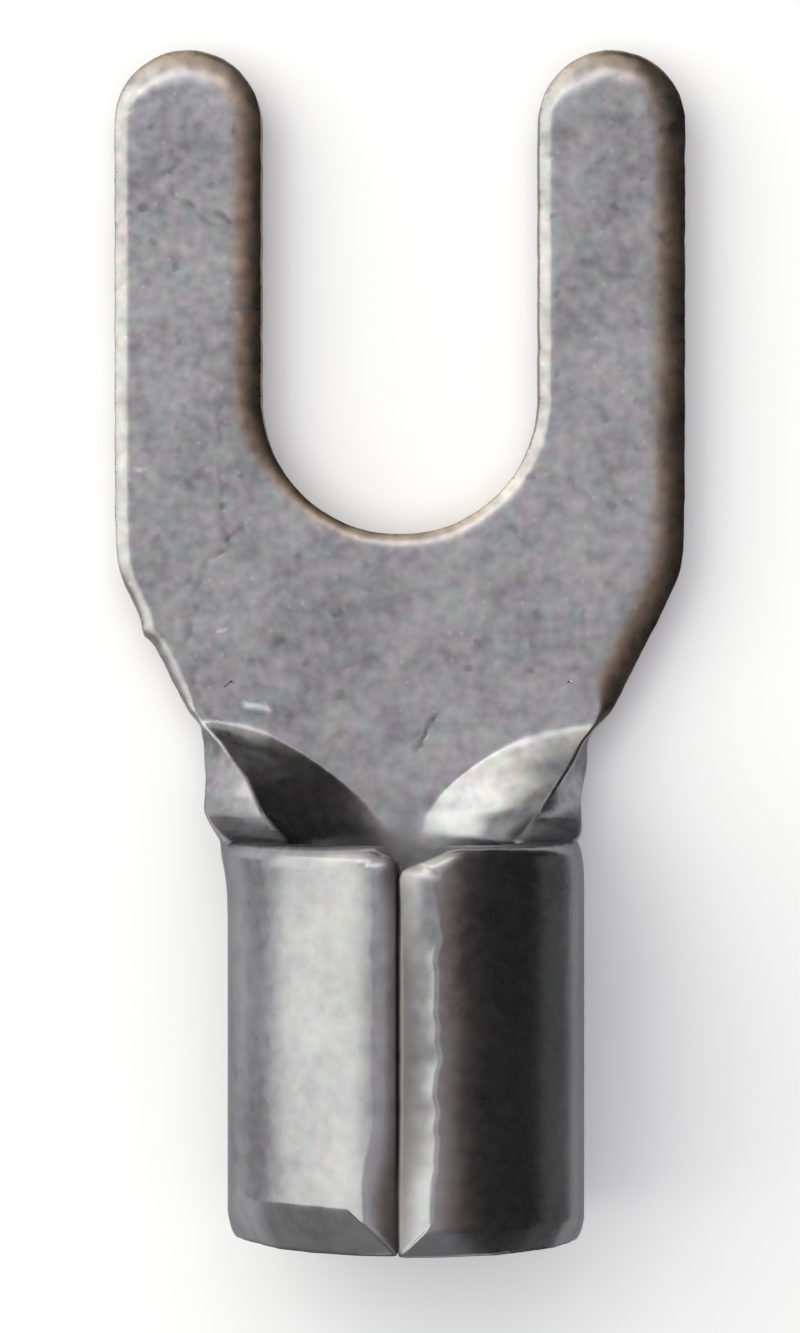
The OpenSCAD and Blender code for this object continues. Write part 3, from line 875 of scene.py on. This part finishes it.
def tin_plate(settings):
    """Dull tin plate: a mottled grain, stains, specks, handling marks, edge wear and a grimy seam.

    It also carries painted glints, and a painted brown reflection on the edges that face right.
    """
    finish = Finish("tin_plate")
    place = finish.node("ShaderNodeTexCoord", {}, {}, output="Object")
    mm = finish.scaled(place, 1 / MM)
    x, y, z = finish.split(mm)
    roll = finish.attribute("roll")
    seam = finish.attribute("seam")
    worn = finish.attribute("worn")

    grain_size = settings.grain / MM
    grain = finish.noise(mm, grain_size, 1.0, 0.45)
    blotch = finish.noise(mm, 3 * grain_size, 1.0)
    cloud = finish.noise(mm, 2.0, 1.0)
    lilac = finish.noise(finish.stretched(mm, 1.0, (1.0, 1.0, 1.0)), 1.5 * grain_size, 1.0)
    warm = finish.noise(finish.stretched(mm, 2.0, (1.0, 1.0, 1.0)), 2.5 * grain_size, 1.0)
    on_fork = y.step(*FORK_START)
    flat_edge = y.step(*WEAR_AND_REFLECTION_START)
    strength = 0.5 + on_fork * 0.5
    cells = {"Vector": mm, "Scale": 2.4}
    from_seed = finish.node("ShaderNodeTexVoronoi", {"voronoi_dimensions": "2D"}, cells)
    kind = finish.node("ShaderNodeTexVoronoi", {"voronoi_dimensions": "2D"}, cells, output="Color")
    kind = finish.node("ShaderNodeRGBToBW", {}, {0: kind})
    specks = from_seed.step(0.11, 0.03) * kind.step(0.42, 0.34) * flat_edge
    uneven = from_seed + (grain - 0.5) * 0.5
    pits = uneven.step(0.22, 0.04) * kind.step(0.6, 0.72) * flat_edge * (1.0 - roll)

    x = x + (grain - 0.5) * 0.2 + (blotch - 0.5) * 0.3
    y = y + (lilac - 0.5) * 0.2 + (warm - 0.5) * 0.3
    on_top = z.step(0.85, 0.95) * y.step(-5.7, -5.4)
    broken = lilac.step(0.3, 0.55)
    line = stroke(x, y, (-2.79, -0.2), (-2.71, -2.4), 0.09)
    scratch = stroke(x, y, (-3.53, 3.2), (-2.82, 2.5), 0.09)
    from_centre = ((x + 1.03) ** 2.0 + (y + 3.8) ** 2.0).root()
    arc = abs(from_centre - 2.25).step(0.12, 0.0) * x.step(-2.0, -2.4)
    crack = stroke(x, y, (0.47, -5.05), (0.3, -5.5), 0.1)
    dent = stroke(x, y, (-2.8, 2.84), (-2.76, 2.82), 0.14)
    smudge = stroke(x, y, (1.6, -3.0), (1.95, -2.8), 0.2)
    smudge = smudge + stroke(x, y, (-3.8, 3.5), (-3.74, 3.44), 0.25)
    marks = ((line + arc + scratch) * 0.6 * broken + crack + dent + smudge * 0.6) * on_top
    # Painted highlights: a glint above the left crease's start and two bright flecks, brightening the
    # colour
    glints = stroke(x, y, (-2.42, -4.86), (-2.14, -4.86), 0.1) * 1.2
    glints = glints + stroke(x, y, (-2.76, -3.61), (-2.7, -3.64), 0.08) * 0.6
    glints = glints + stroke(x, y, (-4.03, -1.09), (-4.0, -1.11), 0.08) * 0.6

    # Edge colour: wear at the rolled edges, and a painted brown reflection that is strongest where they
    # face right
    rubbed_and_reflected = worn.step(0.0, 0.35) * flat_edge * finish.noise(mm, 0.3, 1.0).step(0.1, 0.5)
    nicks = finish.noise(mm, 0.1, 1.0).step(0.56, 0.66) * roll.step(0.3, 0.9) * flat_edge
    grime = seam * roll.step(0.3, 1.0)

    colour_of = finish.mix(blotch.step(0.35, 0.75) * 0.4, settings.tin, settings.stain)
    green = finish.tinted(colour_of, (0.88, 1.06, 0.91))
    purple = finish.tinted(colour_of, (1.12, 0.94, 1.09))
    colour_of = finish.mix((lilac - 0.5) * strength + 0.5, green, purple)
    colour_of = finish.mix((warm - 0.45).most(0.0) * 1.2 * strength, colour_of, (0.42, 0.36, 0.34))
    colour_of = finish.mix(rubbed_and_reflected, colour_of, settings.edge)
    colour_of = finish.mix(grime * 0.6, colour_of, settings.grime)
    mottled = (grain - 0.5) * 0.75 + (blotch - 0.5) * 0.8
    spots = specks * 0.22 + glints - pits * 0.16 - marks * 0.4 - nicks * 0.35
    shade = 1.0 + mottled * strength + (cloud - 0.5) * 0.65 + spots
    roughness = settings.roughness + (grain - 0.5) * 0.08 + (cloud - 0.5) * 0.1 + grime * 0.2
    height = grain * 0.25 + blotch * 0.7 + cloud * 1.5 - marks * 0.9 - pits * 0.35
    relief = {"Strength": 1.0, "Distance": settings.relief, "Height": height}
    bump = finish.node("ShaderNodeBump", {}, relief, output="Normal")
    shader = finish.node(
        "ShaderNodeBsdfPrincipled",
        {},
        {
            "Base Color": finish.scaled(colour_of, shade),
            "Metallic": 1.0,
            "Roughness": roughness,
            "Specular Tint": (0.4, 0.4, 0.4, 1),
            "Normal": bump,
        },
    )
    finish.node("ShaderNodeOutputMaterial", {}, {"Surface": shader}, output=None)
    return finish.material


class TERMINAL_OT_roll_sheet(bpy.types.Operator):
    """Stamp the blank, fold it into the terminal and plate it"""

    bl_idname = "terminal.roll_sheet"
    bl_label = "Roll the sheet"

    def execute(self, context):
        sizes = context.scene.terminal_sizes
        right_points, right_quads = half_sheet(sizes, 1)
        left_points, left_quads = half_sheet(sizes, -1)
        points = np.concatenate([right_points, left_points])
        quads = np.concatenate([right_quads, left_quads + len(right_points)])
        points, faces = weld(points, quads)
        p, q, h, roll, seam, worn = points.T
        folded = Blank(sizes, 1).fold(p, q, h) * MM

        mesh = bpy.data.meshes.new("terminal_sheet")
        mesh.from_pydata(folded.tolist(), [], faces)
        for name, values in (("roll", roll), ("seam", seam), ("worn", worn)):
            kept = mesh.attributes.new(name, "FLOAT", "POINT")
            kept.data.foreach_set("value", values.astype(np.float32))
        mesh.shade_smooth()
        mesh.materials.append(tin_plate(context.scene.terminal_finish))
        piece = bpy.data.objects.new("terminal_sheet", mesh)
        context.scene.collection.objects.link(piece)
        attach(piece, "root")
        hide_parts("fork_terminal")
        return {"FINISHED"}


def set_towards(holder, turn, leans, wide, away):
    """Sets an object to face the terminal from the compass direction turn, and gives the size it needs.

    Angles are degrees. leans are the angles from straight up between which it shows, wide the angle that
    it shows across, and away its distance.
    """
    lean = math.radians(sum(leans) / 2)
    turned = math.radians(turn)
    level = math.sin(lean)
    direction = Vector((level * math.cos(turned), level * math.sin(turned), math.cos(lean)))
    holder.location = direction * away
    holder.rotation_mode = "QUATERNION"
    holder.rotation_quaternion = direction.to_track_quat("Z", "Y")
    return [2 * away * math.tan(math.radians(shown) / 2) for shown in (wide, leans[1] - leans[0])]


def panel(name, turn, leans, wide, radiance, tint):
    """A flat soft lamp, seen in the terminal's reflections but not by the camera.

    An even panel of area A that sends out radiance L has the power pi L A.
    """
    lamp = bpy.data.lights.new(name, "AREA")
    holder = bpy.data.objects.new(name, lamp)
    lamp.shape = "RECTANGLE"
    lamp.size, lamp.size_y = set_towards(holder, turn, leans, wide, PANEL_AWAY)
    lamp.energy = radiance * math.pi * lamp.size * lamp.size_y
    lamp.color = tint
    holder.visible_camera = False
    bpy.context.scene.collection.objects.link(holder)


def matt(name, points, faces, shade):
    """A piece of the stage in one matt colour."""
    mesh = bpy.data.meshes.new(name)
    mesh.from_pydata(points, [], faces)
    finish = Finish(name)
    shader = finish.node("ShaderNodeBsdfDiffuse", {}, {"Color": (*shade, 1)})
    finish.node("ShaderNodeOutputMaterial", {}, {"Surface": shader}, output=None)
    mesh.materials.append(finish.material)
    sheet = bpy.data.objects.new(name, mesh)
    bpy.context.scene.collection.objects.link(sheet)
    return sheet


class TERMINAL_OT_set_stage(bpy.types.Operator):
    """Lay the floor and set up the lamps and the camera"""

    bl_idname = "terminal.set_stage"
    bl_label = "Set the stage"

    def execute(self, context):
        scene = context.scene
        studio = scene.terminal_studio
        scene.view_settings.view_transform = "Standard"

        level = CAD_BOX[0].z - FLOOR_GAP
        compass = ((-1, -1), (1, -1), (1, 1), (-1, 1))
        corners = [(x * FLOOR_HALF, y * FLOOR_HALF, level) for x, y in compass]
        matt("floor", corners, [(0, 1, 2, 3)], studio.floor)

        # Each card stands on a path, between two heights, in metres
        cards = (
            ("right_card", [(0.03, -0.06), (0.03, 0.08)], (0, 0.06), studio.card),
            ("brown_card", [(0.03, -0.06), (0.03, 0.08)], (0.06, 0.11), studio.brown),
            ("far_card", [(0.05, 0.045), (0, 0.045)], (0, 0.02), studio.card),
            ("low_card", [(-0.001, -0.016), (0.0068, -0.016), (0.0068, -0.006)], (0, 0.004), studio.low),
            ("prong_card", [(0.008, -0.006), (0.008, 0.008)], (0, 0.006), studio.card),
            ("rear_card", [(-0.02, -0.016), (-0.001, -0.016)], (0, 0.008), studio.rear),
            ("left_card", [(-0.008, -0.014), (-0.008, -0.006)], (0, 0.0036), studio.left),
        )
        for name, path, heights, shade in cards:
            points = [(x, y, z) for x, y in path for z in heights]
            faces = [(i, i + 1, i + 3, i + 2) for i in range(0, len(points) - 2, 2)]
            card = matt(name, points, faces, shade)
            card.visible_camera = False
            card.visible_diffuse = False
            card.visible_shadow = False

        # Compass direction, leans from straight up, width, radiance and tint
        panel("side_panel", 166, (18, 88), 58, studio.key, (0.98, 1, 0.885))
        panel("low_side_panel", 126, (46, 88), 34, studio.key_low, (0.98, 1, 0.885))
        panel("top_panel", 0, (-9, 15), 50, studio.top, (0.99, 0.98, 1))
        panel("far_panel", 98, (21, 34), 34, studio.far, (1, 0.97, 0.95))
        panel("low_far_panel", 94, (32, 82), 62, studio.far_low, (0.97, 0.96, 0.74))

        lamp = bpy.data.lights.new("floor_light", "SUN")
        lamp.energy = studio.floor_light
        lamp.angle = studio.floor_soft
        holder = bpy.data.objects.new("floor_light", lamp)
        holder.visible_glossy = False
        scene.collection.objects.link(holder)

        world = bpy.data.worlds.new("room")
        world.use_nodes = True
        world.node_tree.nodes["Background"].inputs["Color"].default_value = (*(studio.ambient,) * 3, 1)
        scene.world = world

        camera = bpy.data.cameras.new("camera")
        height_mm = studio.camera_height / MM
        camera.lens = studio.pixels_per_mm * camera.sensor_width * height_mm / IMAGE_HEIGHT
        holder = bpy.data.objects.new("camera", camera)
        holder.location = (0, studio.camera_y, scene.terminal_sizes.sheet_t + studio.camera_height)
        camera.clip_start = 0.001
        scene.collection.objects.link(holder)
        scene.camera = holder
        return {"FINISHED"}


class TERMINAL_PT_sidebar(bpy.types.Panel):
    """Settings and steps of the terminal"""

    bl_idname = "TERMINAL_PT_sidebar"
    bl_label = "Fork terminal"
    bl_space_type = "VIEW_3D"
    bl_region_type = "UI"
    bl_category = "Terminal"

    def draw(self, context):
        for group in ("terminal_sizes", "terminal_finish", "terminal_studio"):
            settings = getattr(context.scene, group)
            box = self.layout.box()
            for name in type(settings).__annotations__:
                box.prop(settings, name)
        self.layout.operator(TERMINAL_OT_roll_sheet.bl_idname)
        self.layout.operator(TERMINAL_OT_set_stage.bl_idname)


GROUPS = {"terminal_sizes": SheetSizes, "terminal_finish": TinFinish, "terminal_studio": Studio}
CLASSES = (*GROUPS.values(), TERMINAL_OT_roll_sheet, TERMINAL_OT_set_stage, TERMINAL_PT_sidebar)


def register():
    """Adds the classes, and the settings to every scene."""
    for each in CLASSES:
        bpy.utils.register_class(each)
    for name, group in GROUPS.items():
        setattr(bpy.types.Scene, name, bpy.props.PointerProperty(type=group))


def unregister():
    """Takes the settings and the classes away again."""
    for name in GROUPS:
        delattr(bpy.types.Scene, name)
    for each in reversed(CLASSES):
        bpy.utils.unregister_class(each)


def main():
    """Makes the terminal and its stage."""
    register()
    bpy.ops.terminal.roll_sheet()
    bpy.ops.terminal.set_stage()


if __name__ == "__main__":
    main()
